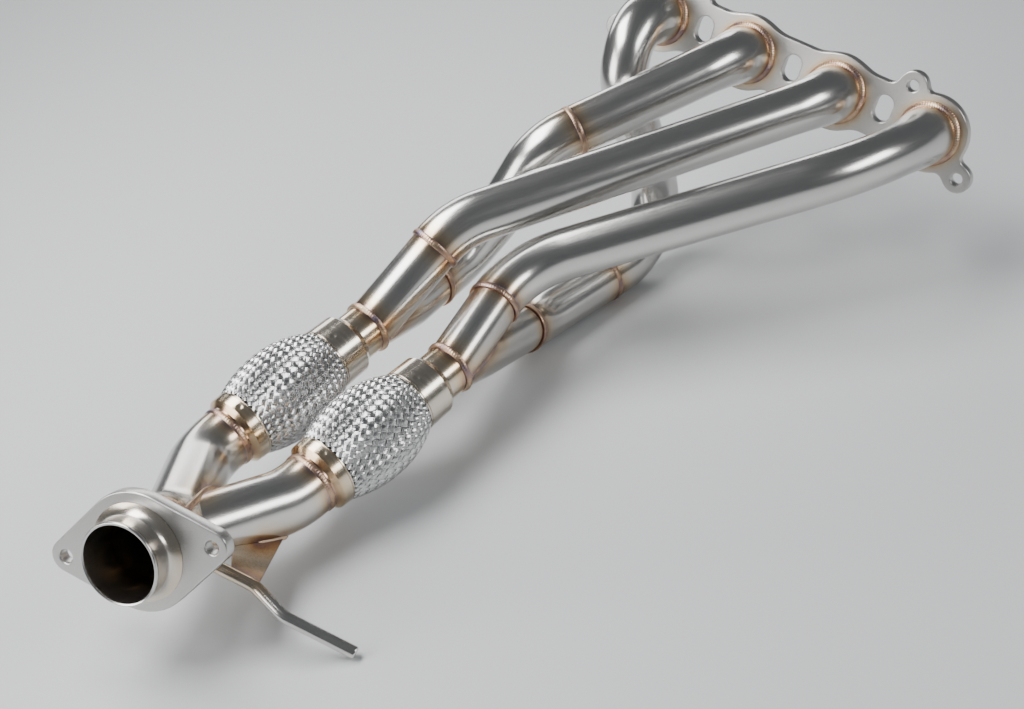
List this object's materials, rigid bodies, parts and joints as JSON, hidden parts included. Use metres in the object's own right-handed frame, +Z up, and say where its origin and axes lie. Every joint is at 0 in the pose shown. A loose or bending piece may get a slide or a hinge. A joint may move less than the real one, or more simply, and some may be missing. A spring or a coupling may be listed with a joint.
{
  "type": "exhaust manifold",
  "caption": "Tubular exhaust manifold: bent primaries from a head flange pair into braided flex couplings that join at a two-bolt outlet with a hanger rod.",
  "frame": {"origin": "centre of the bounding box at the surface the manifold rests on", "axes": "+X from the outlet towards the head flange, +Z up as it lies on a table; the flex couplings lie along X"},
  "size_m": [0.822, 0.3614, 0.2478],
  "materials": {
    "tube": "polished stainless tube with straw heat tint near the welds",
    "head_plate": "laser-cut stainless plate",
    "outlet_plate": "laser-cut stainless plate",
    "gusset": "stainless plate, heat tinted",
    "weld": "TIG weld bead, straw to purple heat tint",
    "ferrule": "polished, pale gold",
    "braid": "woven stainless wire sleeve",
    "bellows": "thin stainless bellows",
    "liner": "interlocked strip hose",
    "rod": "polished stainless rod",
    "spigot": "polished stainless tube"
  },
  "bodies": {
    "manifold": {"collector_left_branch_leg": "tube", "collector_left_main_leg": "tube", "collector_right_branch_leg": "tube", "collector_right_main_leg": "tube", "flex_left_inlet_ferrule": "ferrule", "flex_right_inlet_ferrule": "ferrule", "head_flange": "head_plate", "primary_1_lower": "tube", "primary_1_upper": "tube", "primary_2_lower": "tube", "primary_2_upper": "tube", "primary_3": "tube", "primary_4": "tube", "weld_flex_left_inlet": "weld", "weld_flex_right_inlet": "weld", "weld_port_1": "weld", "weld_port_2": "weld", "weld_port_3": "weld", "weld_port_4": "weld", "weld_primary_1_1": "weld", "weld_primary_1_2": "weld", "weld_primary_2_1": "weld", "weld_primary_2_2": "weld", "weld_primary_3_1": "weld", "weld_primary_4_1": "weld"},
    "flex_core": {"flex_left_bellows": "bellows", "flex_left_braid": "braid", "flex_left_liner": "liner", "flex_right_bellows": "bellows", "flex_right_braid": "braid", "flex_right_liner": "liner"},
    "downpipe": {"flex_left_outlet_ferrule": "ferrule", "flex_right_outlet_ferrule": "ferrule", "hanger_gusset": "gusset", "hanger_rod": "rod", "outlet_flange": "outlet_plate", "outlet_spigot": "spigot", "secondary_left": "tube", "secondary_right": "tube", "weld_flex_left_outlet": "weld", "weld_flex_right_outlet": "weld", "weld_merge_left": "weld", "weld_outlet_flange": "weld"}
  },
  "joints": [
    {"name": "flex_axial", "type": "slide", "parent": "manifold", "child": "flex_core", "axis": [-0.9927, 0, -0.121], "range_m": [-0.006, 0.003], "stiffness_N_per_m": 60000, "deforming": ["flex_left_bellows", "flex_left_braid", "flex_left_liner", "flex_right_bellows", "flex_right_braid", "flex_right_liner"]},
    {"name": "flex_pitch", "type": "hinge", "parent": "flex_core", "child": "downpipe", "pos_m": [-0.16295, 0.07293, 0.06739], "axis": [-0.024, 0.9801, 0.1973], "range_deg": [-4, 4], "stiffness_Nm_per_rad": 400}
  ]
}
